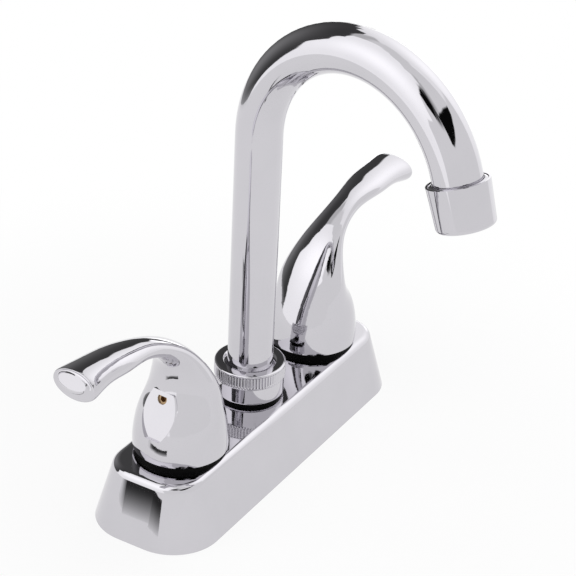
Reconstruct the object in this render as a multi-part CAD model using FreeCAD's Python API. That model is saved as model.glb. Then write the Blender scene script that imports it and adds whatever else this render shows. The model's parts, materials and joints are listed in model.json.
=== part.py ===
import FreeCAD, Part
import math
import os

os.makedirs("parts", exist_ok=True)

V = FreeCAD.Vector
UP = V(0, 0, 1)

# base cover
hub_spacing = 101.6          # valve centres, a standard 4-inch centreset
base_end = 34.0              # from a valve's axis to the end of the base
base_width = 53.1
base_corner_radius = 20.3
base_height = 26.1
base_inset = 7.3             # draft of each wall over the full height
base_top_fillet = 3.2
base_wall = 2.6

# valve housings and centre boss of the brass waterway
gasket_thickness = 3.0
housing_radius = 12.0
housing_rise = 7.9           # above the cover, as are the other rises
housing_floor = 2.6
port_radius = 6.0
shoulder_radius = 14.2
shoulder_height = 2.6
cross_tube_radius = 7.0
cross_bore_radius = 4.6
boss_radius = 12.2
boss_rise = 9.9
boss_bore_radius = 9.0
fit_gap = 0.05               # seated and turning fits, radial
hole_gap = 0.25              # clearance holes in the cover and gasket

# inlet shanks and their deck hardware
shank_radius = 10.4
shank_bore_radius = 6.5
shank_length = 48.0
shank_chamfer = 1.2
shank_relief_depth = 1.0     # groove between the fixing thread and the supply thread
shank_relief_width = 2.0
shank_relief_gap = 0.5       # under the lock nut
deck_grip = 20.0             # space left for the sink deck
lock_washer_radius = 17.0
lock_washer_thickness = 1.5
lock_nut_flats = 31.0
lock_nut_height = 8.0

# quarter-turn cartridges
cartridge_radius = 9.6
cartridge_head_flats = 20.0
cartridge_head_height = 4.0
chamber_radius = 8.8
seal_height = 2.4
seal_inner_radius = 5.6
disc_radius = 8.72
disc_thickness = 3.0
disc_gap = 0.05
port_inner_radius = 2.0
port_outer_radius = 6.6
port_angle = 76.0
window_height = 5.0
window_width = 8.0
stem_flange_radius = 7.6
stem_flange_height = 3.4
stem_barrel_radius = 5.5
stem_spindle_radius = 4.0
stem_flat = 3.3              # spindle axis to the flat that the screw bears on
stem_rise = 26.6             # above the handle's rim
stem_groove_depth = 1.3
stem_groove_width = 2.4
stem_groove_rise = 0.9
bonnet_flats = 27.0
bonnet_height = 4.6
handle_ring_radius = 18.0
handle_ring_wall = 1.9
handle_ring_height = 2.0

# union nut and its ring
nut_radius = 14.66
nut_height = 14.0
nut_lip = 2.3
nut_edge_round = 0.9
nut_knurl_height = 6.4       # knurled band at the top, which stands out by the step
nut_step = 0.45
nut_recess_radius = 10.9
nut_recess_depth = 0.8
nut_ring_radius = 13.4
nut_ring_height = 1.3

# gooseneck spout
spout_swing = -10.3          # turn about the riser, as it stands in the photograph
tube_radius = 9.35
tube_wall = 1.0
riser_height = 116.2         # from the cover to the start of the arch
arch_radius = 47.8
arch_sweep = 160.9
outlet_straight = 11.9
spigot_depth = 8.1           # brass spigot that turns in the boss and carries the tube,
spigot_plug_length = 13.75   # from below the cover to inside the tube
spigot_bore_radius = 5.6
spigot_flange_radius = 11.8
spigot_flange_height = 2.2
slip_washer_thickness = 0.8
o_ring_thickness = 1.8
o_ring_gap = 0.02
o_ring_groove_width = 2.2
o_ring_rises = (4.5, 13.0)   # above the spigot's foot

# aerator, measured along the outlet from the end of the arch
aerator_radius = 11.9         # at the rim, which is its widest
aerator_foot_radius = 11.15
aerator_start = 2.6
aerator_end = 19.6
aerator_rim_wall = 0.8
aerator_rim_depth = 1.3
aerator_edge_round = 1.6
aerator_lip = 0.8
aerator_mouth_radius = 8.8
aerator_chamber_radius = 9.8
aerator_washer_thickness = 1.5
screen_thickness = 0.5
insert_hole_radius = 0.75
insert_rings = ((2.6, 6), (5.0, 12), (7.4, 18))

# lever handles: one casting used twice, turned half round for the other side
hot_rest_turn = 5.0          # clockwise from above, as in the photograph
cold_rest_turn = 1.9
handle_gap = 0.3             # between the casting and the ring below it
# sections along the casting: reach from the valve axis, height above the rim, direction
# of the section's normal above horizontal, half depth in the lever plane, half width, and
# how far the widest place lies towards the underside, as a share of the half depth
handle_sections = (
    (0.0, 0.0, 90.0, 18.8, 18.8, 0.0),
    (0.1, 6.1, 93.0, 18.9, 18.7, 0.0),
    (-0.1, 13.9, 94.0, 17.3, 17.8, 0.0),
    (0.3, 20.9, 89.7, 14.9, 16.2, -0.10),
    (1.2, 29.3, 74.5, 10.9, 14.1, -0.26),
    (4.7, 40.6, 59.2, 6.3, 10.3, -0.22),
    (12.4, 48.8, 47.0, 4.1, 7.1, -0.20),
    (25.2, 54.2, 29.8, 4.1, 6.3, -0.12),
    (39.0, 56.4, 16.0, 4.8, 8.2, -0.05),
    (51.0, 57.2, 6.9, 5.1, 8.7, 0.0),
    (60.6, 56.4, 3.1, 6.0, 10.0, 0.0),
    (62.2, 56.8, 7.1, 5.0, 8.8, 0.0),
    (63.1, 58.1, 15.1, 2.8, 6.4, 0.0),
)
section_points = 24
rim_chamfer = 0.3
hub_cavity = ((16.5, 0.0), (16.5, 4.6), (14.2, 10.0), (10.6, 15.2))
facet_bottom = (17.0, 9.9)   # reach and height above the rim of the flat under the lever
facet_top = (10.8, 28.8)
facet_bottom_half_width = 3.4
facet_half_width = 7.5
facet_top_half_width = 4.9
screw_below_top = 3.1
screw_radius = 2.15
screw_recess = 0.7
screw_socket_flats = 2.4
screw_socket_depth = 2.2
screw_point_radius = 1.1

half_spacing = hub_spacing / 2
base_length = hub_spacing + 2 * base_end
cover_top_underside = base_height - base_wall
cross_tube_z = (gasket_thickness + cover_top_underside) / 2
housing_bottom = gasket_thickness
housing_top = base_height + housing_rise
boss_top = base_height + boss_rise
seat_z = housing_bottom + housing_floor
fixed_disc_z = seat_z + seal_height
moving_disc_z = fixed_disc_z + disc_thickness + disc_gap
stem_flange_z = moving_disc_z + disc_thickness
stem_barrel_z = stem_flange_z + stem_flange_height
chamber_top = stem_barrel_z + disc_gap
cartridge_top = housing_top + cartridge_head_height
handle_bottom = base_height + handle_ring_height + handle_gap
stem_top = handle_bottom + stem_rise
nut_bottom = base_height + nut_ring_height
nut_top = nut_bottom + nut_height
lip_underside = nut_top - nut_lip
spigot_bottom = base_height - spigot_depth
flange_z = boss_top + fit_gap
tube_bottom = flange_z + spigot_flange_height
arch_start = base_height + riser_height


def cylinder(radius, z0, z1, x=0.0):
    return Part.makeCylinder(radius, z1 - z0, V(x, 0, z0))


def tube(outer, inner, z0, z1, x=0.0):
    return cylinder(outer, z0, z1, x).cut(cylinder(inner, z0 - 1, z1 + 1, x))


def revolved(profile, x=0.0):
    """Solid of revolution about the vertical through x, from (radius, height) points."""
    points = [V(x + r, 0, z) for r, z in profile]
    wire = Part.makePolygon(points + [points[0]])
    return Part.Face(wire).revolve(V(x, 0, 0), UP, 360)


def hexagon(flats, z0, z1, x=0.0):
    corner = flats / math.sqrt(3)
    points = [V(x + corner * math.cos(math.radians(60 * k)),
                corner * math.sin(math.radians(60 * k)), z0) for k in range(7)]
    return Part.Face(Part.makePolygon(points)).extrude(V(0, 0, z1 - z0))


def hex_nut(flats, z0, z1, bore, x=0.0):
    """Hexagon with both ends turned down to a cone, as a machined nut has them."""
    corner = flats / math.sqrt(3)
    cut = (corner - flats / 2) * 0.9
    turned = revolved(((0, z0), (flats / 2, z0), (corner + 0.1, z0 + cut),
                       (corner + 0.1, z1 - cut), (flats / 2, z1), (0, z1)), x)
    return hexagon(flats, z0, z1, x).common(turned).cut(cylinder(bore, z0 - 1, z1 + 1, x))


def rounded_rectangle(length, width, radius, z):
    a = length / 2 - radius
    b = width / 2 - radius
    edges = []
    for sx, sy, start in ((1, 1, 0), (-1, 1, 90), (-1, -1, 180), (1, -1, 270)):
        arc = Part.Circle(V(sx * a, sy * b, z), UP, radius)
        edges.append(Part.Arc(arc, math.radians(start), math.radians(start + 90)).toShape())
    joined = []
    for here, after in zip(edges, edges[1:] + edges[:1]):
        joined.append(here)
        joined.append(Part.makeLine(here.Vertexes[-1].Point, after.Vertexes[0].Point))
    return Part.Wire(joined)


def drafted_block(offset, z0, z1):
    """Block with the base's drafted walls, moved inward by offset."""
    wires = []
    for z in (z0, z1):
        inward = offset + base_inset * z / base_height
        wires.append(rounded_rectangle(base_length - 2 * inward, base_width - 2 * inward,
                                       base_corner_radius - inward, z))
    return Part.makeLoft(wires, True, True)


def o_ring(mean_radius, section_radius, z, x=0.0):
    return Part.makeTorus(mean_radius, section_radius, V(x, 0, z), UP)


# base cover: drafted shell open at the bottom, holes for both valves and the spout boss
outer_block = drafted_block(0.0, 0.0, base_height)
top_edges = [e for e in outer_block.Edges if e.BoundBox.ZMin > base_height - 0.01]
base_cover = outer_block.makeFillet(base_top_fillet, top_edges)
base_cover = base_cover.cut(drafted_block(base_wall, -0.01, cover_top_underside))
for x in (-half_spacing, half_spacing):
    base_cover = base_cover.cut(cylinder(housing_radius + hole_gap, 0, base_height + 1, x))
base_cover = base_cover.cut(cylinder(boss_radius + hole_gap, 0, base_height + 1))

base_gasket = drafted_block(base_wall + fit_gap, 0.0, gasket_thickness)
for x in (-half_spacing, half_spacing):
    base_gasket = base_gasket.cut(cylinder(shank_radius + hole_gap, -1, gasket_thickness + 1, x))

# waterway casting: two valve housings and the spout boss on one cross tube
waterway = cylinder(boss_radius, housing_bottom, boss_top)
waterway = waterway.fuse(cylinder(shoulder_radius, cover_top_underside - shoulder_height,
                                  cover_top_underside))
for x in (-half_spacing, half_spacing):
    waterway = waterway.fuse(cylinder(housing_radius, housing_bottom, housing_top, x))
    waterway = waterway.fuse(cylinder(shoulder_radius, cover_top_underside - shoulder_height,
                                      cover_top_underside, x))
waterway = waterway.fuse(Part.makeCylinder(cross_tube_radius, hub_spacing,
                                           V(-half_spacing, 0, cross_tube_z), V(1, 0, 0)))
waterway = waterway.cut(Part.makeCylinder(cross_bore_radius, hub_spacing,
                                          V(-half_spacing, 0, cross_tube_z), V(1, 0, 0)))
waterway = waterway.cut(cylinder(boss_bore_radius, cross_tube_z - cross_bore_radius, boss_top + 1))
for x in (-half_spacing, half_spacing):
    waterway = waterway.cut(cylinder(cartridge_radius + fit_gap, seat_z, housing_top + 1, x))
    waterway = waterway.cut(cylinder(port_radius, housing_bottom - 1, seat_z + 1, x))
waterway = waterway.removeSplitter()

# union nut: plain lower half, raised band above it for the knurl, lip over the spigot's flange
nut_bore = boss_radius + fit_gap
nut_plain_radius = nut_radius - nut_step
nut_knurl_bottom = nut_top - nut_knurl_height
spout_nut = revolved((
    (nut_bore, nut_bottom), (nut_plain_radius - nut_edge_round, nut_bottom),
    (nut_plain_radius, nut_bottom + nut_edge_round), (nut_plain_radius, nut_knurl_bottom),
    (nut_radius, nut_knurl_bottom + nut_step),
    (nut_radius, nut_top), (nut_recess_radius, nut_top),
    (tube_radius + fit_gap, nut_top - nut_recess_depth), (tube_radius + fit_gap, lip_underside),
    (nut_bore, lip_underside)))
nut_rim = [e for e in spout_nut.Edges
           if abs(e.BoundBox.ZMin - nut_top) < 0.01 and abs(e.BoundBox.XMax - nut_radius) < 0.01]
spout_nut = spout_nut.makeFillet(nut_edge_round, nut_rim)
nut_ring = tube(nut_ring_radius, nut_bore, base_height, nut_bottom)


def sector_port(x, z0, z1, start):
    """Quarter port through a ceramic disc, between two radii."""
    ring = tube(port_outer_radius, port_inner_radius, z0, z1, x)
    wedge = Part.makeCylinder(port_outer_radius + 1, z1 - z0, V(x, 0, z0), UP, port_angle)
    wedge.rotate(V(x, 0, 0), UP, start)
    return ring.common(wedge)


def valve_pieces(x, start):
    """Fixed and turning pieces of one quarter-turn valve, seen from its seat upward."""
    seal = tube(disc_radius, seal_inner_radius, seat_z, fixed_disc_z, x)
    fixed_disc = cylinder(disc_radius, fixed_disc_z, fixed_disc_z + disc_thickness, x)
    moving_disc = cylinder(disc_radius, moving_disc_z, moving_disc_z + disc_thickness, x)
    for side in (0, 180):
        fixed_disc = fixed_disc.cut(sector_port(
            x, fixed_disc_z - 1, fixed_disc_z + disc_thickness + 1, start + side))
        moving_disc = moving_disc.cut(sector_port(
            x, moving_disc_z - 1, moving_disc_z + disc_thickness + 1, start + side + 90))

    body = cylinder(cartridge_radius, seat_z, housing_top, x)
    body = body.fuse(hexagon(cartridge_head_flats, housing_top, cartridge_top, x))
    body = body.cut(cylinder(chamber_radius, seat_z - 1, chamber_top, x))
    body = body.cut(cylinder(stem_barrel_radius + fit_gap, chamber_top - 1, cartridge_top + 1, x))
    window_z = stem_flange_z - window_height / 2
    body = body.cut(Part.makeBox(2 * cartridge_radius + 2, window_width, window_height,
                                 V(x - cartridge_radius - 1, -window_width / 2, window_z)))

    stem = cylinder(stem_flange_radius, stem_flange_z, stem_barrel_z, x)
    stem = stem.fuse(cylinder(stem_barrel_radius, stem_barrel_z, cartridge_top, x))
    stem = stem.fuse(cylinder(stem_spindle_radius, cartridge_top, stem_top, x))
    groove_z = base_height + stem_groove_rise
    groove_z0 = groove_z - stem_groove_width / 2
    stem = stem.cut(tube(stem_barrel_radius + 1, stem_barrel_radius - stem_groove_depth,
                         groove_z0, groove_z0 + stem_groove_width, x))
    section = stem_groove_depth / 2
    ring = o_ring(stem_barrel_radius - section, section, groove_z, x)

    bonnet = hex_nut(bonnet_flats, base_height, base_height + bonnet_height,
                     housing_radius + fit_gap, x)
    collar = tube(handle_ring_radius, handle_ring_radius - handle_ring_wall,
                  base_height, base_height + handle_ring_height, x)
    return {"seat_seal": seal, "fixed_disc": fixed_disc, "moving_disc": moving_disc,
            "cartridge_body": body, "stem": stem, "stem_o_ring": ring,
            "bonnet_nut": bonnet, "handle_ring": collar}


def deck_hardware(x):
    """Threaded inlet shank with the washer and nut that pull the tap onto the sink."""
    shank = revolved((
        (shank_bore_radius, housing_bottom), (shank_radius, housing_bottom),
        (shank_radius, shank_chamfer - shank_length), (shank_radius - shank_chamfer, -shank_length),
        (shank_bore_radius, -shank_length)), x)
    nut_z = -deck_grip - lock_washer_thickness
    relief_z = nut_z - lock_nut_height - shank_relief_gap
    shank = shank.cut(tube(shank_radius + 1, shank_radius - shank_relief_depth,
                           relief_z - shank_relief_width, relief_z, x))
    washer = tube(lock_washer_radius, shank_radius + hole_gap, nut_z, -deck_grip, x)
    nut = hex_nut(lock_nut_flats, nut_z - lock_nut_height, nut_z, shank_radius + fit_gap, x)
    return {"inlet_shank": shank, "lock_washer": washer, "lock_nut": nut}


def section_outline(reach, height, tilt, half_depth, half_width, shift):
    """Points round an oval square to a direction tilt degrees above the lever's."""
    a = math.radians(tilt)
    across = V(math.sin(a), 0, -math.cos(a))
    middle = V(reach, 0, handle_bottom + height)
    points = []
    for k in range(section_points):
        t = 2 * math.pi * k / section_points
        points.append(middle + across * (half_depth * math.cos(t))
                      + V(0, half_width * math.sin(t) * (1 + shift * math.cos(t)), 0))
    return points


def skinned(outlines):
    """Solid with one smooth surface through closed outlines, closed flat at both ends."""
    around = [float(k) for k in range(section_points + 1)]
    along = [float(k) for k in range(len(outlines))]
    rings = []
    for outline in outlines:
        ring = Part.BSplineCurve()
        ring.interpolate(Points=outline, Parameters=around, PeriodicFlag=True)
        rings.append(ring)
    rails = []
    for column in zip(*[ring.getPoles() for ring in rings]):
        rail = Part.BSplineCurve()
        rail.interpolate(Points=list(column), Parameters=along)
        rails.append(rail)
    surface = Part.BSplineSurface()
    surface.buildFromPolesMultsKnots(
        [list(row) for row in zip(*[rail.getPoles() for rail in rails])],
        rails[0].getMultiplicities(), rings[0].getMultiplicities(),
        rails[0].getKnots(), rings[0].getKnots(), False, True, 3, 3)
    ends = [Part.Face(Part.Wire(rings[k].toShape())) for k in (0, -1)]
    shell = Part.makeShell([surface.toShape()] + ends)
    shell.sewShape()
    return Part.makeSolid(shell)


def beyond_flat(offset, bottom):
    """Everything on the far side of a plane that stands at an offset from the valve axis."""
    side = 4 * stem_spindle_radius
    return Part.makeBox(side, 2 * side, stem_top, V(offset, -side, bottom))


def spot_face_outline(length):
    """Outline of the flat under the lever: straight top and bottom, bulging sides."""
    middle = length / 2
    right = Part.Arc(V(0, facet_bottom_half_width, 0), V(-middle, facet_half_width, 0),
                     V(-length, facet_top_half_width, 0)).toShape()
    left = Part.Arc(V(-length, -facet_top_half_width, 0), V(-middle, -facet_half_width, 0),
                    V(0, -facet_bottom_half_width, 0)).toShape()
    top = Part.makeLine(right.Vertexes[-1].Point, left.Vertexes[0].Point)
    bottom = Part.makeLine(left.Vertexes[-1].Point, right.Vertexes[0].Point)
    return Part.Wire([right, top, left, bottom])


def tilted(shape, reach, height, tilt):
    """Place a shape made about the Z axis so that Z points tilt above the lever's reach."""
    placed = shape.copy()
    placed.rotate(V(0, 0, 0), V(0, 1, 0), 90 - tilt)
    placed.translate(V(reach, 0, height))
    return placed


def lever_handle():
    """Swan-neck casting pointing along +X from a valve axis at the origin."""
    casting = skinned([section_outline(*s) for s in handle_sections])
    hub_radius = handle_sections[0][3]
    casting = casting.cut(revolved((
        (hub_radius - rim_chamfer, handle_bottom), (hub_radius - rim_chamfer, handle_bottom - 1),
        (hub_radius + 1, handle_bottom - 1), (hub_radius + 1, handle_bottom + 1 + rim_chamfer))))
    cavity = [(0.0, handle_bottom - 1), (hub_cavity[0][0], handle_bottom - 1)]
    cavity += [(radius, handle_bottom + rise) for radius, rise in hub_cavity[1:]]
    cavity.append((0.0, cavity[-1][1]))
    casting = casting.cut(revolved(cavity))

    run = facet_bottom[0] - facet_top[0]
    rise = facet_top[1] - facet_bottom[1]
    facet_tilt = math.degrees(math.atan2(run, rise))
    length = math.hypot(run, rise)
    along = V(-run / length, 0, rise / length)
    outward = V(rise / length, 0, run / length)
    spot_face = Part.Face(spot_face_outline(length)).extrude(V(0, 0, hub_radius))
    spot_face = tilted(spot_face, facet_bottom[0], handle_bottom + facet_bottom[1], facet_tilt)
    casting = casting.cut(spot_face)

    hole = V(facet_top[0], 0, handle_bottom + facet_top[1]) - along * screw_below_top
    casting = casting.cut(tilted(
        Part.makeCylinder(screw_radius + fit_gap, 2 * hole.x, V(0, 0, -hole.x)),
        hole.x, hole.z, facet_tilt))

    spindle_hole = cylinder(stem_spindle_radius + fit_gap, handle_bottom, stem_top + 0.5)
    casting = casting.cut(spindle_hole.cut(beyond_flat(stem_flat + fit_gap, 0.0)))

    axis_length = (hole.x - stem_flat) / math.cos(math.radians(facet_tilt))
    screw_length = axis_length - screw_recess - screw_point_radius * math.tan(
        math.radians(facet_tilt)) - 0.02
    screw = revolved(((0, -screw_length), (screw_point_radius, -screw_length),
                      (screw_radius, screw_point_radius - screw_length),
                      (screw_radius, 0), (0, 0)))
    screw = screw.cut(hexagon(screw_socket_flats, -screw_socket_depth, 1))
    screw = tilted(screw, hole.x - outward.x * screw_recess, hole.z - outward.z * screw_recess,
                   facet_tilt)
    return casting, screw


def turned(shape, degrees, x):
    """Turn about the vertical at the origin, then carry to a valve axis."""
    placed = shape.copy()
    placed.rotate(V(0, 0, 0), UP, degrees)
    placed.translate(V(x, 0, 0))
    return placed


def gooseneck(radius, bottom, straight):
    """Round bar along the spout's centreline in the plane of +X and +Z."""
    theta = math.radians(arch_sweep)
    middle = theta / 2
    start = V(0, 0, arch_start)
    on_arch = V(arch_radius * (1 - math.cos(middle)), 0, arch_start + arch_radius * math.sin(middle))
    end = V(arch_radius * (1 - math.cos(theta)), 0, arch_start + arch_radius * math.sin(theta))
    heading = V(math.sin(theta), 0, math.cos(theta))
    path = Part.Wire([Part.makeLine(V(0, 0, bottom), start),
                      Part.Arc(start, on_arch, end).toShape(),
                      Part.makeLine(end, end + heading * straight)])
    section = Part.Wire(Part.makeCircle(radius, V(0, 0, bottom), UP))
    return path.makePipeShell([section], True, True)


def at_outlet(shape):
    """Carry a shape made along +Z from the arch's end to the outlet's direction."""
    theta = math.radians(arch_sweep)
    end = V(arch_radius * (1 - math.cos(theta)), 0, arch_start + arch_radius * math.sin(theta))
    placed = shape.copy()
    placed.rotate(V(0, 0, 0), V(0, 1, 0), arch_sweep)
    placed.translate(end)
    return placed


def spout_pieces():
    tube_shape = gooseneck(tube_radius, tube_bottom, outlet_straight).cut(
        gooseneck(tube_radius - tube_wall, tube_bottom - 1, outlet_straight + 1))

    spigot_radius = boss_bore_radius - fit_gap
    spigot = cylinder(spigot_radius, spigot_bottom, tube_bottom)
    spigot = spigot.fuse(cylinder(spigot_flange_radius, flange_z, tube_bottom))
    spigot = spigot.fuse(cylinder(tube_radius - tube_wall, tube_bottom,
                                  tube_bottom + spigot_plug_length))
    spigot = spigot.cut(cylinder(spigot_bore_radius, spigot_bottom - 1,
                                 tube_bottom + spigot_plug_length + 1))
    section = o_ring_thickness / 2
    mean_radius = boss_bore_radius - o_ring_gap - section
    rings = []
    for z in (spigot_bottom + rise for rise in o_ring_rises):
        spigot = spigot.cut(tube(spigot_radius + 1, mean_radius - section,
                                 z - o_ring_groove_width / 2, z + o_ring_groove_width / 2))
        rings.append(o_ring(mean_radius, section, z))
    washer = tube(spigot_flange_radius, tube_radius + fit_gap, tube_bottom,
                  tube_bottom + slip_washer_thickness)

    chamber_z = outlet_straight
    lip_z = aerator_end - aerator_lip
    screen_z = lip_z - screen_thickness
    insert_z = chamber_z + aerator_washer_thickness
    shell = revolved((
        (aerator_radius, aerator_start), (aerator_foot_radius, aerator_end),
        (aerator_mouth_radius, aerator_end), (aerator_mouth_radius, lip_z),
        (aerator_chamber_radius, lip_z), (aerator_chamber_radius, chamber_z),
        (tube_radius + fit_gap, chamber_z),
        (tube_radius + fit_gap, aerator_start + aerator_rim_depth),
        (aerator_radius - aerator_rim_wall, aerator_start + aerator_rim_depth),
        (aerator_radius - aerator_rim_wall, aerator_start)))
    outer_edge = [e for e in shell.Edges if abs(e.BoundBox.ZMin - aerator_end) < 0.01
                  and abs(e.BoundBox.XMax - aerator_foot_radius) < 0.01]
    shell = shell.makeFillet(aerator_edge_round, outer_edge)
    rubber = tube(aerator_chamber_radius, tube_radius - tube_wall, chamber_z, insert_z)
    insert = cylinder(aerator_chamber_radius, insert_z, screen_z)
    holes = [cylinder(insert_hole_radius, insert_z - 1, screen_z + 1)]
    for radius, count in insert_rings:
        for k in range(count):
            hole = cylinder(insert_hole_radius, insert_z - 1, screen_z + 1, radius)
            hole.rotate(V(0, 0, 0), UP, 360.0 * k / count)
            holes.append(hole)
    insert = insert.cut(Part.makeCompound(holes))
    screen = cylinder(aerator_chamber_radius, screen_z, lip_z)
    return {"spout_tube": tube_shape, "spout_spigot": spigot,
            "spout_o_ring_lower": rings[0], "spout_o_ring_upper": rings[1],
            "spout_slip_washer": washer,
            "aerator_shell": at_outlet(shell), "aerator_washer": at_outlet(rubber),
            "aerator_insert": at_outlet(insert), "aerator_screen": at_outlet(screen)}


pieces = {"base_cover": base_cover, "base_gasket": base_gasket, "waterway_body": waterway,
          "spout_nut": spout_nut, "nut_ring": nut_ring}

forward = -90 + spout_swing
for name, shape in spout_pieces().items():
    pieces[name] = turned(shape, forward, 0.0)

handle, set_screw = lever_handle()
for side, x, rest in (("hot", -half_spacing, 180 - hot_rest_turn),
                      ("cold", half_spacing, -cold_rest_turn)):
    pieces[side + "_handle"] = turned(handle, rest, x)
    pieces[side + "_set_screw"] = turned(set_screw, rest, x)
    for name, shape in deck_hardware(x).items():
        pieces[side + "_" + name] = shape
    flat_cut = turned(beyond_flat(stem_flat, cartridge_top), rest, x)
    for name, shape in valve_pieces(x, 45.0).items():
        if name == "stem":
            shape = shape.cut(flat_cut)
        pieces[side + "_" + name] = shape

for name, shape in sorted(pieces.items()):
    if not shape.isValid():
        print("not valid:", name)
    solids = shape.Solids
    if len(solids) != 1:
        print("solids in", name, ":", len(solids))
    solids[0].exportStep("parts/" + name + ".step")
    print("%-22s volume %9.1f mm3" % (name, solids[0].Volume))
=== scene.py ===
import json
import math

import bmesh
import bpy
from mathutils import Matrix, Vector


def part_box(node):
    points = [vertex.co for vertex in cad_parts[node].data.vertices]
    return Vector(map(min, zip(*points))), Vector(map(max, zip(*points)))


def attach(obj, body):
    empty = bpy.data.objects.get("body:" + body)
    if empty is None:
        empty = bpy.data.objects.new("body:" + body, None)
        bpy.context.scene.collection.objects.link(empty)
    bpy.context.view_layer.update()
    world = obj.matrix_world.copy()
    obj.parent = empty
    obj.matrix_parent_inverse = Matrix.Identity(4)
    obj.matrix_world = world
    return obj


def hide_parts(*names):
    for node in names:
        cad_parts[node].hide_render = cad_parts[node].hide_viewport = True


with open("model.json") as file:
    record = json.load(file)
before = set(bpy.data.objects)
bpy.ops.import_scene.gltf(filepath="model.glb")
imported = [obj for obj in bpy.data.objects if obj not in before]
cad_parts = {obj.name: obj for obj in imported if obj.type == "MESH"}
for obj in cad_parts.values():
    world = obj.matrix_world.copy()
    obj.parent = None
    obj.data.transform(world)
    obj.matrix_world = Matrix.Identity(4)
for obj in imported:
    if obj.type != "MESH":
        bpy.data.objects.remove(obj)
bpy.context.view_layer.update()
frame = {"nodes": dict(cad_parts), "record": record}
scene = bpy.context.scene
MM = 0.001


# camera

def place_camera(target, azimuth, elevation, roll, distance, lens):
    """Camera looking at target from the given side, turned by roll about its own axis."""
    a, e, r = (math.radians(v) for v in (azimuth, elevation, roll))
    back = Vector((math.sin(a) * math.cos(e), -math.cos(a) * math.cos(e), math.sin(e)))
    right = back.cross(Vector((0, 0, 1))).normalized() * -1
    up = back.cross(right)
    side = right * math.cos(r) + up * math.sin(r)
    top = up * math.cos(r) - right * math.sin(r)
    data = bpy.data.cameras.new("camera")
    data.lens = lens
    data.sensor_width = 36.0
    data.clip_start = 0.02
    data.clip_end = 20.0
    camera = bpy.data.objects.new("camera", data)
    scene.collection.objects.link(camera)
    axes = Matrix((side, top, back)).transposed()
    camera.matrix_world = Matrix.Translation(target + back * distance) @ axes.to_4x4()
    scene.camera = camera


place_camera(target=Vector((-0.04308, -0.04045, 0.10745)), azimuth=-60.48, elevation=29.28,
             roll=2.89, distance=0.72033, lens=122.93)


# node helpers

class Graph:
    """Short ways to add shader nodes to one tree."""

    def __init__(self, tree):
        self.tree = tree
        self.tree.nodes.clear()

    def node(self, kind, **settings):
        made = self.tree.nodes.new(kind)
        for key, value in settings.items():
            setattr(made, key, value)
        return made

    def put(self, value, socket):
        if isinstance(value, bpy.types.NodeSocket):
            self.tree.links.new(value, socket)
        else:
            socket.default_value = value

    def math(self, operation, a, b=0.0):
        made = self.node("ShaderNodeMath", operation=operation)
        for value, socket in zip((a, b), made.inputs):
            self.put(value, socket)
        return made.outputs[0]

    def ramp(self, value, low, high, to_low=0.0, to_high=1.0, smooth=True):
        made = self.node("ShaderNodeMapRange", clamp=True)
        made.interpolation_type = "SMOOTHSTEP" if smooth else "LINEAR"
        for item, socket in zip((value, low, high, to_low, to_high), made.inputs):
            self.put(item, socket)
        return made.outputs[0]

    def mix(self, factor, a, b):
        made = self.node("ShaderNodeMix", data_type="FLOAT")
        self.put(factor, made.inputs[0])
        self.put(a, made.inputs[2])
        self.put(b, made.inputs[3])
        return made.outputs[0]

    def split(self, vector):
        made = self.node("ShaderNodeSeparateXYZ")
        self.put(vector, made.inputs[0])
        return made.outputs

    def curve(self, value, points):
        """Straight stretches through (value, height) points, level beyond the ends."""
        low, high = points[0][0], points[-1][0]
        bottom = min(height for _, height in points)
        top = max(height for _, height in points)
        made = self.node("ShaderNodeFloatCurve")
        line = made.mapping.curves[0]
        spots = [((x - low) / (high - low), (y - bottom) / (top - bottom)) for x, y in points]
        for spot in spots[1:-1]:
            line.points.new(*spot)
        line.points[0].location = spots[0]
        line.points[-1].location = spots[-1]
        for point in line.points:
            point.handle_type = "VECTOR"
        made.mapping.update()
        made.inputs[0].default_value = 1.0
        self.put(self.ramp(value, low, high, smooth=False), made.inputs[1])
        return self.ramp(made.outputs[0], 0.0, 1.0, bottom, top, smooth=False)

    def noise(self, vector, scale, detail, roughness=0.5):
        made = self.node("ShaderNodeTexNoise")
        self.put(vector, made.inputs["Vector"])
        made.inputs["Scale"].default_value = scale
        made.inputs["Detail"].default_value = detail
        made.inputs["Roughness"].default_value = roughness
        return made.outputs[0]

    def bump(self, height, distance, strength, normal=None):
        made = self.node("ShaderNodeBump")
        made.inputs["Strength"].default_value = strength
        made.inputs["Distance"].default_value = distance
        self.put(height, made.inputs["Height"])
        if normal is not None:
            self.put(normal, made.inputs["Normal"])
        return made.outputs[0]

    def light(self, strength):
        """White emission, which a soft box or a card gives off."""
        made = self.node("ShaderNodeEmission")
        made.inputs["Color"].default_value = (1.0, 1.0, 1.0, 1.0)
        self.put(strength, made.inputs["Strength"])
        return made.outputs[0]


def add_object(name, bm, material):
    mesh = bpy.data.meshes.new(name)
    bm.to_mesh(mesh)
    bm.free()
    mesh.materials.append(material)
    made = bpy.data.objects.new(name, mesh)
    scene.collection.objects.link(made)
    return made


# studio: a dome round the tap with soft boxes, a dark far wall and a black flag on it

DOME_CENTRE = Vector((0.001, 0.039, 0.198))
DOME_RADIUS = 0.486
# bearings that the painted shapes are measured from, as azimuths of a view
FRONT, LEFT, RIGHT, REAR = -40.0, -125.0, 80.0, 164.0


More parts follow.
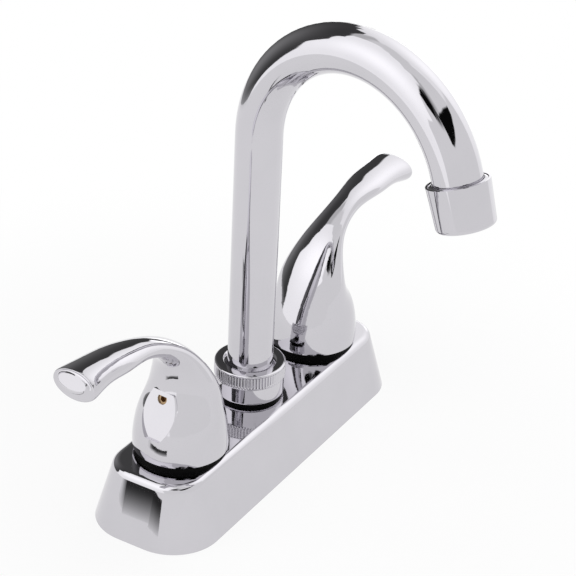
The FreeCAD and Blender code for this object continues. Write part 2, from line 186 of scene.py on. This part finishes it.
def paint_dome():
    """Levels over the dome, by degrees round from a bearing and degrees of elevation."""
    made = bpy.data.materials.new("studio_dome")
    made.use_nodes = True
    g = Graph(made.node_tree)
    direction = g.node("ShaderNodeVectorMath", operation="NORMALIZE")
    g.put(g.node("ShaderNodeTexCoord").outputs["Object"], direction.inputs[0])
    x, y, z = g.split(direction.outputs[0])
    elevation = g.math("DEGREES", g.math("ARCSINE", z))

    def bearing(centre):
        s, c = math.sin(math.radians(centre)), math.cos(math.radians(centre))
        across = g.math("ADD", g.math("MULTIPLY", x, c), g.math("MULTIPLY", y, s))
        ahead = g.math("SUBTRACT", g.math("MULTIPLY", x, s), g.math("MULTIPLY", y, c))
        return g.math("DEGREES", g.math("ARCTAN2", across, ahead))

    def above(value, edge, soft):
        return g.ramp(g.math("SUBTRACT", value, edge), -soft, soft)

    def inside(value, low, high, soft):
        return g.math("MULTIPLY", above(value, low, soft),
                      g.math("SUBTRACT", 1.0, above(value, high, soft)))

    def hill(value, centre, half):
        return g.ramp(g.math("ABSOLUTE", g.math("SUBTRACT", value, centre)), 0.0, half, 1.0, 0.0)

    def panel(under, span, rise, paint):
        """Paint in a span (bearing, from, to, softness) and a rise (from, to, softness)."""
        return g.mix(g.math("MULTIPLY", inside(*span), inside(elevation, *rise)), under, paint)

    def swell(around, middle, half, edge_level, middle_level):
        """Level that swells to its middle, a bearing and an elevation."""
        factor = g.math("MULTIPLY", hill(around, middle[0], half[0]),
                        hill(elevation, middle[1], half[1]))
        return g.mix(factor, edge_level, middle_level)

    front, left, right, rear = (bearing(centre) for centre in (FRONT, LEFT, RIGHT, REAR))
    level = g.ramp(elevation, 30.0, 80.0, 0.963, 0.918)

    # left soft box, whose edge towards the camera leans
    edge = g.curve(elevation, ((-20, 45.5), (0, 38), (8, 43), (15, 55), (21, 53), (30, 54.5),
                               (38, 58.5), (45, 64.5), (52, 77), (58, 94.5), (66, 66.5),
                               (74, 69.5), (82, 42)))
    glow = swell(left, (15.7, 32.4), (65.9, 48.3), 1.29, 1.65)
    level = panel(level, (left, -60.0, edge, 1.0), (-40.0, 84.6, 3.0), glow)

    # seam beside the right soft box, the box with a dimmer top, and the lit corner below it
    seam = g.math("MULTIPLY", hill(front, 0.4, 10.8), inside(elevation, 34.0, 62.6, 4.0))
    level = g.mix(seam, level, 0.62)
    level = panel(level, (right, -58.8, -34.3, 2.0), (35.0, 68.7, 3.0), 1.2)
    glow = swell(right, (-11.7, 30.1), (55.3, 50.4), 1.13, 1.57)
    level = panel(level, (right, -40.0, 60.0, 1.5), (-30.0, 72.4, 3.0), glow)
    level = panel(level, (right, 8.0, 38.0, 6.0), (-24.0, -3.0, 4.0), 1.8)

    # grey ceiling, and the far wall, dark at its edges and greyer low in its middle
    level = panel(level, (rear, -52.6, 12.0, 4.0), (60.1, 72.9, 4.0), 0.66)
    near = g.curve(elevation, ((-26, 2.5), (-20, -17.5), (-14, -71), (-8, -52), (0, -57),
                               (8, -54.5), (16, -55.5), (24, -50.5), (32, -53), (40, -44),
                               (48, -43), (54, -45.5), (60, -32)))
    far = g.curve(elevation, ((-26, 40.5), (-16, 48), (0, 46.5), (16, 37), (24, 41.5),
                              (32, 42.5), (40, 35), (46, 30.5), (52, 31), (58, 18), (64, 8)))
    shade = swell(rear, (-2.0, -7.9), (47.8, 58.0), 0.058, 0.254)
    shade = g.mix(g.ramp(elevation, -33.1, -18.0, 1.0, 0.0), shade, 0.865)
    level = panel(level, (rear, near, far, 1.2), (-60.0, 59.9, 2.0), shade)

    # grey beside the black flag above the camera, and the flag
    level = panel(level, (front, -14.4, -3.0, 5.0), (22.7, 50.5, 4.0), 0.06)
    under = g.curve(front, ((-30, 45), (-24, 29), (-14, 23.5), (-8, 36.5), (4, 15), (10, 14.5),
                            (40, 28.5), (50, 31), (58, 36.5)))
    over = g.curve(front, ((-30, 35), (-24, 39), (-20, 44), (-14, 47.5), (-8, 38.5), (-2, 30.5),
                           (4, 34), (22, 37.5), (30, 38.5), (40, 38), (58, 35)))
    level = panel(level, (front, -30.0, 58.0, 0.8), (under, over, 0.9), 0.004)

    g.put(g.light(level), g.node("ShaderNodeOutputMaterial").inputs["Surface"])
    return made


def build_dome():
    bm = bmesh.new()
    bmesh.ops.create_uvsphere(bm, u_segments=96, v_segments=48, radius=DOME_RADIUS)
    dome = add_object("studio_dome", bm, paint_dome())
    dome.location = DOME_CENTRE
    dome.visible_camera = False


# card of painted shade: its glow is seen only as a dark reflection in the chrome
CARD_PLACE = Vector((-0.14, 0.0, 0.0))
CARD_START, CARD_END, CARD_HEIGHT = -11 * MM, 70 * MM, 15 * MM
CARD_DARK, CARD_PALE = 0.03, 0.85


def paint_shade_card():
    """Painted shade for the chrome to reflect: dark along most of its length, paler at the far end and
    towards the deck.
    """
    made = bpy.data.materials.new("painted_shade_card")
    made.use_nodes = True
    g = Graph(made.node_tree)
    _, y, z = g.split(g.node("ShaderNodeTexCoord").outputs["Object"])
    along = g.ramp(y, 42 * MM, 66 * MM, CARD_DARK, CARD_PALE)
    fading = g.math("POWER", g.ramp(z, 0.0, 13 * MM, 1.0, 0.0, smooth=False), 2.0)
    level = g.mix(fading, along, CARD_PALE)
    g.put(g.light(level), g.node("ShaderNodeOutputMaterial").inputs["Surface"])
    return made


def build_shade_card():
    """Low card on the deck beside the hot end, which only the chrome shows: a glowing sheet that paints
    a shadow-like dark reflection there.
    """
    bm = bmesh.new()
    corners = ((CARD_START, 0), (CARD_END, 0), (CARD_END, CARD_HEIGHT), (CARD_START, CARD_HEIGHT))
    bm.faces.new([bm.verts.new((0, y, z)) for y, z in corners])
    card = add_object("painted_shade_card", bm, paint_shade_card())
    card.location = CARD_PLACE
    card.visible_camera = False
    card.visible_diffuse = False
    card.visible_shadow = False


def build_world():
    world = bpy.data.worlds.new("room")
    scene.world = world
    world.use_nodes = True
    g = Graph(world.node_tree)
    room = g.node("ShaderNodeBackground")
    room.inputs["Color"].default_value = (1.0, 1.0, 1.0, 1.0)
    room.inputs["Strength"].default_value = 1.0
    g.put(room.outputs[0], g.node("ShaderNodeOutputWorld").inputs[0])


build_dome()
build_shade_card()
build_world()


# materials

def new_material(name):
    made = bpy.data.materials.new(name)
    made.use_nodes = True
    g = Graph(made.node_tree)
    shader = g.node("ShaderNodeBsdfPrincipled")
    out = g.node("ShaderNodeOutputMaterial")
    g.put(shader.outputs[0], out.inputs["Surface"])
    place = g.node("ShaderNodeTexCoord").outputs["Object"]
    return made, g, shader, place


def two_tones(g, value, dark, light, start=0.3, end=0.7):
    """Colour that runs from dark to light as a noise value goes from start to end."""
    made = g.node("ShaderNodeValToRGB")
    for element, position, colour in zip(made.color_ramp.elements, (start, end), (dark, light)):
        element.position = position
        element.color = (*colour, 1.0)
    g.put(value, made.inputs[0])
    return made.outputs[0]


def grey(level):
    return (level, level, level)


def polished_chrome():
    """Mirror finish with faint haze, specks and the slow waves of a buffed casting."""
    made, g, shader, place = new_material("polished_chrome_plate")
    shader.inputs["Metallic"].default_value = 1.0
    haze = g.noise(place, 55.0, 3.0)
    specks = g.noise(place, 1900.0, 2.0)
    g.put(two_tones(g, haze, (0.592, 0.581, 0.613), (0.610, 0.598, 0.631)),
          shader.inputs["Base Color"])
    rough = g.math("ADD", g.ramp(haze, 0.3, 0.7, 0.03, 0.06, smooth=False),
                   g.ramp(specks, 0.62, 0.8, 0.0, 0.05))
    g.put(rough, shader.inputs["Roughness"])
    waves = g.bump(g.noise(place, 90.0, 1.0), 0.00001, 0.5)
    g.put(g.bump(specks, 0.000001, 0.2, waves), shader.inputs["Normal"])
    return made


def cast_metal(name, dark, light, rough, grain, depth):
    """Dull metal with the grit of a sand casting."""
    made, g, shader, place = new_material(name)
    shader.inputs["Metallic"].default_value = 1.0
    patches = g.noise(place, 140.0, 4.0)
    grit = g.noise(place, grain, 3.0, 0.6)
    g.put(two_tones(g, patches, dark, light), shader.inputs["Base Color"])
    g.put(g.ramp(grit, 0.3, 0.7, rough - 0.08, rough + 0.1, smooth=False), shader.inputs["Roughness"])
    g.put(g.bump(grit, depth, 0.6), shader.inputs["Normal"])
    return made


def turned_metal(name, dark, light, rough):
    """Bright metal with fine rings left by the lathe, which run round the vertical."""
    made, g, shader, place = new_material(name)
    shader.inputs["Metallic"].default_value = 1.0
    stretch = g.node("ShaderNodeMapping")
    stretch.inputs["Scale"].default_value = (0.02, 0.02, 1.0)
    g.put(place, stretch.inputs["Vector"])
    rings = g.noise(stretch.outputs[0], 5200.0, 3.0)
    smear = g.noise(place, 160.0, 3.0)
    g.put(two_tones(g, smear, dark, light), shader.inputs["Base Color"])
    g.put(g.ramp(rings, 0.3, 0.7, rough - 0.06, rough + 0.08, smooth=False), shader.inputs["Roughness"])
    g.put(g.bump(rings, 0.00001, 0.5), shader.inputs["Normal"])
    return made


def moulded(name, dark, light, rough, grain, depth, shine=0.5):
    """Plastic, rubber or ceramic with the fine texture of its mould."""
    made, g, shader, place = new_material(name)
    cloud = g.noise(place, 70.0, 3.0)
    grit = g.noise(place, grain, 3.0, 0.6)
    g.put(two_tones(g, cloud, dark, light), shader.inputs["Base Color"])
    g.put(g.ramp(grit, 0.3, 0.7, rough - 0.07, rough + 0.09, smooth=False), shader.inputs["Roughness"])
    g.put(g.bump(grit, depth, 0.6), shader.inputs["Normal"])
    shader.inputs["Specular IOR Level"].default_value = shine
    return made


finishes = {
    "polished_chrome": polished_chrome(),
    "cast_brass": cast_metal("cast_brass", (0.52, 0.36, 0.15), (0.66, 0.48, 0.22),
                             rough=0.42, grain=900.0, depth=0.00012),
    "screw_brass": turned_metal("screw_brass", (0.30, 0.20, 0.11), (0.42, 0.30, 0.18), rough=0.22),
    "washer_steel": turned_metal("washer_steel", (0.50, 0.49, 0.47), (0.60, 0.59, 0.57), rough=0.30),
    "ceramic": moulded("ceramic", (0.84, 0.83, 0.79), (0.90, 0.89, 0.86),
                       rough=0.22, grain=1500.0, depth=0.000004),
    "white_plastic": moulded("white_plastic", (0.80, 0.80, 0.78), (0.86, 0.86, 0.84),
                             rough=0.36, grain=1300.0, depth=0.00001),
    "black_plastic": moulded("black_plastic", grey(0.002), grey(0.004),
                             rough=0.5, grain=1400.0, depth=0.00001, shine=0.04),
    "black_rubber": moulded("black_rubber", grey(0.010), (0.020, 0.019, 0.019),
                            rough=0.62, grain=2400.0, depth=0.00002, shine=0.2),
}


# mesh helpers

def new_piece(name, bm, finish, body, *nodes):
    """Put a mesh in the scene as a piece that rides on a body and stands for CAD nodes."""
    made = add_object(name, bm, finishes[finish])
    for face in made.data.polygons:
        face.use_smooth = True
    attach(made, body)
    if nodes:
        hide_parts(*nodes)
    return made


def bridge(bm, rows):
    """Quads between each closed row of vertices and the next, facing outward."""
    for low, high in zip(rows, rows[1:]):
        for k in range(len(low)):
            n = (k + 1) % len(low)
            bm.faces.new((low[k], low[n], high[n], high[k]))
    bmesh.ops.recalc_face_normals(bm, faces=bm.faces)


def lathe(rings, columns, centre=(0.0, 0.0)):
    """Closed surface round the vertical: each ring gives radius and height at an angle."""
    bm = bmesh.new()
    rows = []
    for ring in rings:
        row = []
        for k in range(columns):
            t = 2 * math.pi * k / columns
            r, z = ring(t)
            row.append(bm.verts.new((centre[0] + r * math.cos(t), centre[1] + r * math.sin(t), z)))
        rows.append(row)
    bridge(bm, rows + rows[:1])
    return bm


def plain_ring(r, z):
    return lambda t: (r * MM, z * MM)


def plain_rings(*outline):
    return [plain_ring(r, z) for r, z in outline]


def knurled_ring(r, z, depth, flutes):
    """Ring of rounded ribs with sharp grooves between them."""
    def at(t):
        wave = 0.5 - 0.5 * math.cos(flutes * t)
        return ((r - depth * (1 - math.sqrt(wave))) * MM, z * MM)
    return at


# union nut

def build_nut():
    """Union nut with a straight knurl on its upper half and a recess round the tube."""
    low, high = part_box("spout_nut")
    foot, top, crest = low.z / MM, high.z / MM, high.x / MM
    plain = crest - 0.45                # radius of the plain lower half
    bore, tube_hole = 12.25, 9.4
    lip = 2.3
    flutes, depth = 70, 0.65
    step_foot, knurl_top = top - 6.4, top - 0.65
    knurl_foot = step_foot + 0.3
    rings = plain_rings((bore, foot), (plain - 0.9, foot), (plain - 0.45, foot + 0.2),
                        (plain - 0.1, foot + 0.55), (plain, foot + 0.9), (plain, foot + 1.1),
                        (plain, step_foot - 0.3), (plain, step_foot))

    # knurl, whose flutes run out at both ends
    steps = 10
    lower_run_out, upper_run_out = 0.06, 0.08    # as shares of its height
    for k in range(steps + 1):
        f = k / steps
        fade = min(1.0, f / lower_run_out, (1 - f) / upper_run_out)
        height = knurl_foot + f * (knurl_top - knurl_foot)
        rings.append(knurled_ring(crest - 0.1 * (1 - fade), height, depth * fade, flutes))

    # rounded shoulder, flat top, recess round the tube and the underside of the lip
    for k in range(7):
        a = math.radians(15 * k)
        rings.append(plain_ring(crest - 0.9 + 0.85 * math.cos(a), top - 0.7 + 0.7 * math.sin(a)))
    rings += plain_rings((11.1, top), (10.9, top - 0.03), (10.75, top - 0.15), (9.5, top - 0.78),
                         (tube_hole, top - 0.85), (tube_hole, top - lip), (bore, top - lip))
    return new_piece("knurled_nut", lathe(rings, flutes * 10), "polished_chrome", "body", "spout_nut")


# inlet tails

def build_shank(side):
    """Inlet tail with a rolled thread, a plain groove across it and a smooth bore."""
    node = side + "_inlet_shank"
    low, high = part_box(node)
    centre = ((low.x + high.x) / 2, (low.y + high.y) / 2)
    crest = (high.x - low.x) / 2 / MM
    top, bottom = high.z / MM, low.z / MM
    bore, bore_chamfer, chamfer = 6.5, 0.4, 1.2
    thread_depth, pitch, run_out = 0.75, 1.814, 1.2
    groove_depth, groove_low, groove_high = 1.0, -32.2, -29.8
    start, stop = -0.6, bottom + 0.9

    def thread(z):
        def at(t):
            phase = (z / pitch - t / (2 * math.pi)) % 1.0
            tooth = min(1.0, max(0.0, 1.7 - 4.0 * abs(phase - 0.5)))
            ends = min(1.0, max(0.0, min(start - z, z - stop) / run_out))
            if groove_low < z < groove_high:
                return ((crest - groove_depth) * MM, z * MM)
            r = crest - thread_depth * ends * (1 - tooth)
            if z < stop + chamfer:
                r = min(r, crest - chamfer + (z - bottom))
            return (r * MM, z * MM)
        return at

    rings = plain_rings((bore, top), (crest, top), (crest, start))
    z = start
    while z > stop:
        rings.append(thread(z))
        z -= pitch / 8
    rings += plain_rings((crest - chamfer, bottom), (bore + bore_chamfer, bottom),
                         (bore, bottom + bore_chamfer))
    return new_piece(side + "_threaded_tail", lathe(rings, 64, centre), "cast_brass", "body", node)


# outlet

def outlet_frame():
    """Centre of the screen, two directions in it and the one out of the spout's mouth."""
    points = [v.co.copy() for v in frame["nodes"]["aerator_screen"].data.vertices]
    centre = sum(points, Vector()) / len(points)
    rim = [p - centre for p in points]
    far = max(rim, key=lambda p: p.length)
    other = max(rim, key=lambda p: far.cross(p).length)
    normal = far.cross(other).normalized()
    if normal.z > 0:
        normal.negate()
    along = Vector((0, 0, 1)).cross(normal).normalized()
    return centre, along, normal.cross(along), normal


def add_wire(bm, spots, across, normal, radius, sides=6):
    """Thin round wire along the spots, closed at both ends."""
    rows = []
    for spot in spots:
        turns = [2 * math.pi * q / sides for q in range(sides)]
        rows.append([bm.verts.new(spot + across * radius * math.cos(a) + normal * radius * math.sin(a))
                     for a in turns])
    bm.faces.new(rows[0])
    bm.faces.new(list(reversed(rows[-1])))
    bridge(bm, rows)


def build_screen():
    """Woven wire screen across the outlet's mouth."""
    centre, u, v, n = outlet_frame()
    radius, pitch, wire = 9.6 * MM, 0.82 * MM, 0.11 * MM
    bm = bmesh.new()
    count = int(radius / pitch)
    for along, across, sign in ((u, v, 1), (v, u, -1)):
        for k in range(-count, count + 1):
            offset = (k + 0.5) * pitch
            if abs(offset) > radius - wire:
                continue
            half = math.sqrt(radius ** 2 - offset ** 2)
            steps = max(4, int(2 * half / pitch * 4))
            spots = []
            for s in range(steps + 1):
                t = -half + 2 * half * s / steps
                lift = sign * (-1) ** k * wire * math.sin(math.pi * t / pitch)
                spots.append(centre + along * t + across * offset + n * lift)
            add_wire(bm, spots, across, n, wire)
    return new_piece("woven_screen", bm, "washer_steel", "spout", "aerator_screen")


def build_collar():
    """Sloped collar round the tube, just inside the aerator's rim."""
    centre, u, v, n = outlet_frame()
    shell = [p.co for p in frame["nodes"]["aerator_shell"].data.vertices]
    top = min((p - centre).dot(n) for p in shell)
    tube, rim, foot = 9.36, 11.09, 1.25
    outline = ((tube, 0.25), (9.55, 0.12), (9.8, 0.14), (10.9, 0.62), (rim, 0.80), (rim, foot),
               (tube, foot))
    columns = 128
    bm = bmesh.new()
    rows = []
    for r, down in outline:
        middle = centre + n * (top + down * MM)
        turns = [2 * math.pi * k / columns for k in range(columns)]
        rows.append([bm.verts.new(middle + (u * math.cos(t) + v * math.sin(t)) * r * MM) for t in turns])
    bridge(bm, rows + rows[:1])
    return new_piece("outlet_collar", bm, "polished_chrome", "spout")


# flats under the levers

FLAT_FOOT = (17.0, 38.3)                # reach from the valve's axis and height
FLAT_HEAD = (10.8, 57.2)
FLAT_HALF_WIDTHS = (3.4, 4.9)           # at the foot and the head
FLAT_BULGE = 3.35
FLAT_LENGTH = math.hypot(FLAT_FOOT[0] - FLAT_HEAD[0], FLAT_HEAD[1] - FLAT_FOOT[1])
FLAT_TILT = math.atan2(FLAT_FOOT[0] - FLAT_HEAD[0], FLAT_HEAD[1] - FLAT_FOOT[1])
SCREW_BELOW_HEAD = 3.1
SCREW_HOLE_RADIUS = 2.2


def flat_frame(side):
    """Foot of the flat under a lever and its directions: across, up along it and outward."""
    low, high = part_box(side + "_handle_ring")
    axis_x = (low.x + high.x) / 2
    low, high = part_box(side + "_set_screw")
    heading = math.atan2((low.y + high.y) / 2, (low.x + high.x) / 2 - axis_x)
    ahead = Vector((math.cos(heading), math.sin(heading), 0))
    rise = Vector((0, 0, 1))
    foot = Vector((axis_x, 0, 0)) + (ahead * FLAT_FOOT[0] + rise * FLAT_FOOT[1]) * MM
    outward = ahead * math.cos(FLAT_TILT) + rise * math.sin(FLAT_TILT)
    upward = rise * math.cos(FLAT_TILT) - ahead * math.sin(FLAT_TILT)
    return foot, upward.cross(outward), upward, outward


def flat_outline():
    """Points round the flat, as distance across it and up it from its foot."""
    steps, margin, trim = 32, 0.08, 0.05
    first, last = FLAT_HALF_WIDTHS
    half = []
    for k in range(steps + 1):
        v = FLAT_LENGTH * k / steps
        bulge = FLAT_BULGE * math.sin(math.pi * v / FLAT_LENGTH) ** 0.9
        w = first + (last - first) * v / FLAT_LENGTH + bulge
        half.append((w - trim, min(max(v, margin), FLAT_LENGTH - margin)))
    return half + [(-w, v) for w, v in reversed(half)]


def build_flat(side):
    """Milled face round the set screw, which runs out a little proud at its top corners."""
    foot, across, upward, outward = flat_frame(side)
    outline = flat_outline()
    screw = FLAT_LENGTH - SCREW_BELOW_HEAD
    hole = []
    for w, v in outline:
        t = math.atan2(v - screw, w)
        hole.append((SCREW_HOLE_RADIUS * math.cos(t), screw + SCREW_HOLE_RADIUS * math.sin(t)))
    bm = bmesh.new()

    def row(points, lift, inset):
        made = []
        for w, v in points:
            pull = Vector((w, v - FLAT_LENGTH / 2, 0)).normalized() * inset
            spot = foot + (across * (w - pull.x) + upward * (v - pull.y) + outward * lift) * MM
            made.append(bm.verts.new(spot))
        return made

    depth, edge, proud = -1.6, 0.10, 0.03
    bridge(bm, [row(outline, depth, 0.0), row(outline, -edge, 0.0), row(outline, proud, edge),
                row(hole, proud, 0.0)])
    made = new_piece(side + "_screw_face", bm, "polished_chrome", side + "_lever")
    for face in made.data.polygons:
        face.use_smooth = abs(face.normal.dot(outward)) < 0.5
    return made


def flat_faces(mesh, outward):
    """Faces of the casting's flat: those that face outward in the plane with the middle area."""
    facing = [p for p in mesh.polygons if p.normal.dot(outward) > math.cos(math.radians(0.8))]
    facing.sort(key=lambda p: p.center.dot(outward))
    half = sum(p.area for p in facing) / 2
    for p in facing:
        half -= p.area
        if half <= 0:
            plane = p.center.dot(outward)
            break
    return {p.index for p in facing if abs(p.center.dot(outward) - plane) < 0.04 * MM}


def build_casting(side):
    """Handle casting with a crisp edge round the flat under its lever."""
    node = side + "_handle"
    outward = flat_frame(side)[3]
    mesh = frame["nodes"][node].data.copy()
    mesh.name = side + "_casting"
    flat = flat_faces(mesh, outward)
    beside = {v: Vector() for index in flat for v in mesh.polygons[index].vertices}
    for p in mesh.polygons:
        if p.index not in flat:
            for v in p.vertices:
                if v in beside:
                    beside[v] += p.normal * p.area
    normals = [Vector(c.vector) for c in mesh.corner_normals]
    for p in mesh.polygons:
        p.use_smooth = True
        for loop in p.loop_indices:
            v = mesh.loops[loop].vertex_index
            if p.index in flat:
                normals[loop] = outward
            elif v in beside:
                normals[loop] = beside[v].normalized()
    mesh.normals_split_custom_set(normals)
    mesh.materials.clear()
    mesh.materials.append(finishes["polished_chrome"])
    made = bpy.data.objects.new(side + "_casting", mesh)
    scene.collection.objects.link(made)
    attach(made, side + "_lever")
    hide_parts(node)
    return made


build_nut()
build_collar()
build_casting("hot")
build_casting("cold")
build_flat("hot")
build_flat("cold")
build_shank("hot")
build_shank("cold")
build_screen()

slot_of = {part["node"]: part["material_slot"] for part in frame["record"]["subparts"]}
for name, node in frame["nodes"].items():
    node.data.materials.clear()
    node.data.materials.append(finishes[slot_of[name]])


# deck: pale floor that fades into the white room, with holes for the inlet tails

FLOOR_HALF = 0.64
FLOOR_HEIGHT = -0.0002
HOLE_CELL = 0.02                        # half width of the square that each hole is cut in
HOLE_GAP = 0.0015                       # round the tails


def paint_floor():
    """Pale floor that shows white to the camera and the chrome, but keeps its shadow."""
    made, g, shader, place = new_material("pale_floor")
    x, y, _ = g.split(place)
    reach = g.math("SQRT", g.math("ADD", g.math("MULTIPLY", x, x), g.math("MULTIPLY", y, y)))
    cloud = g.noise(place, 6.0, 3.0)
    g.put(two_tones(g, cloud, grey(0.90), grey(0.93), 0.2, 0.8), shader.inputs["Base Color"])
    shader.inputs["Roughness"].default_value = 0.8
    shader.inputs["Specular IOR Level"].default_value = 0.1
    path = g.node("ShaderNodeLightPath")
    seen = g.math("MAXIMUM", path.outputs["Is Camera Ray"], path.outputs["Is Glossy Ray"])
    seen = g.math("MAXIMUM", seen, path.outputs["Is Transmission Ray"])
    blend = g.node("ShaderNodeMixShader")
    g.put(g.math("MULTIPLY", seen, g.ramp(reach, 0.09, 0.26, 0.84, 1.0)), blend.inputs[0])
    g.put(shader.outputs[0], blend.inputs[1])
    g.put(g.light(1.0), blend.inputs[2])
    clear = g.node("ShaderNodeBsdfTransparent")
    fade = g.node("ShaderNodeMixShader")
    g.put(g.ramp(reach, 0.42, 0.62), fade.inputs[0])
    g.put(blend.outputs[0], fade.inputs[1])
    g.put(clear.outputs[0], fade.inputs[2])
    out = next(n for n in g.tree.nodes if n.type == "OUTPUT_MATERIAL")
    g.put(fade.outputs[0], out.inputs["Surface"])
    return made


def add_holed_cell(bm, centre_x, radius):
    """Square of the floor round a hole, with the hole's edge joined to the square's."""
    count = 64
    inner, outer = [], []
    for k in range(count):
        t = 2 * math.pi * k / count
        s, q = math.cos(t), math.sin(t)
        out = HOLE_CELL / max(abs(s), abs(q))
        inner.append(bm.verts.new((centre_x + radius * s, radius * q, FLOOR_HEIGHT)))
        outer.append(bm.verts.new((centre_x + out * s, out * q, FLOOR_HEIGHT)))
    for k in range(count):
        n = (k + 1) % count
        bm.faces.new((inner[k], outer[k], outer[n], inner[n]))


def build_floor():
    holes = {}
    for side in ("hot", "cold"):
        low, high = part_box(side + "_inlet_shank")
        holes[(low.x + high.x) / 2] = (high.x - low.x) / 2 + HOLE_GAP
    columns = sorted([-FLOOR_HALF, FLOOR_HALF] + [x + s * HOLE_CELL for x in holes for s in (-1, 1)])
    rows = [-FLOOR_HALF, -HOLE_CELL, HOLE_CELL, FLOOR_HALF]
    bm = bmesh.new()
    for a, b in zip(columns, columns[1:]):
        hole_x = next((x for x in holes if a < x < b), None)
        for c, d in zip(rows, rows[1:]):
            if hole_x is not None and c < 0.0 < d:
                add_holed_cell(bm, hole_x, holes[hole_x])
            else:
                corners = ((a, c), (b, c), (b, d), (a, d))
                bm.faces.new([bm.verts.new((x, y, FLOOR_HEIGHT)) for x, y in corners])
    bmesh.ops.remove_doubles(bm, verts=bm.verts, dist=1e-5)
    floor = add_object("deck_floor", bm, paint_floor())


build_floor()

scene.view_settings.view_transform = "Standard"
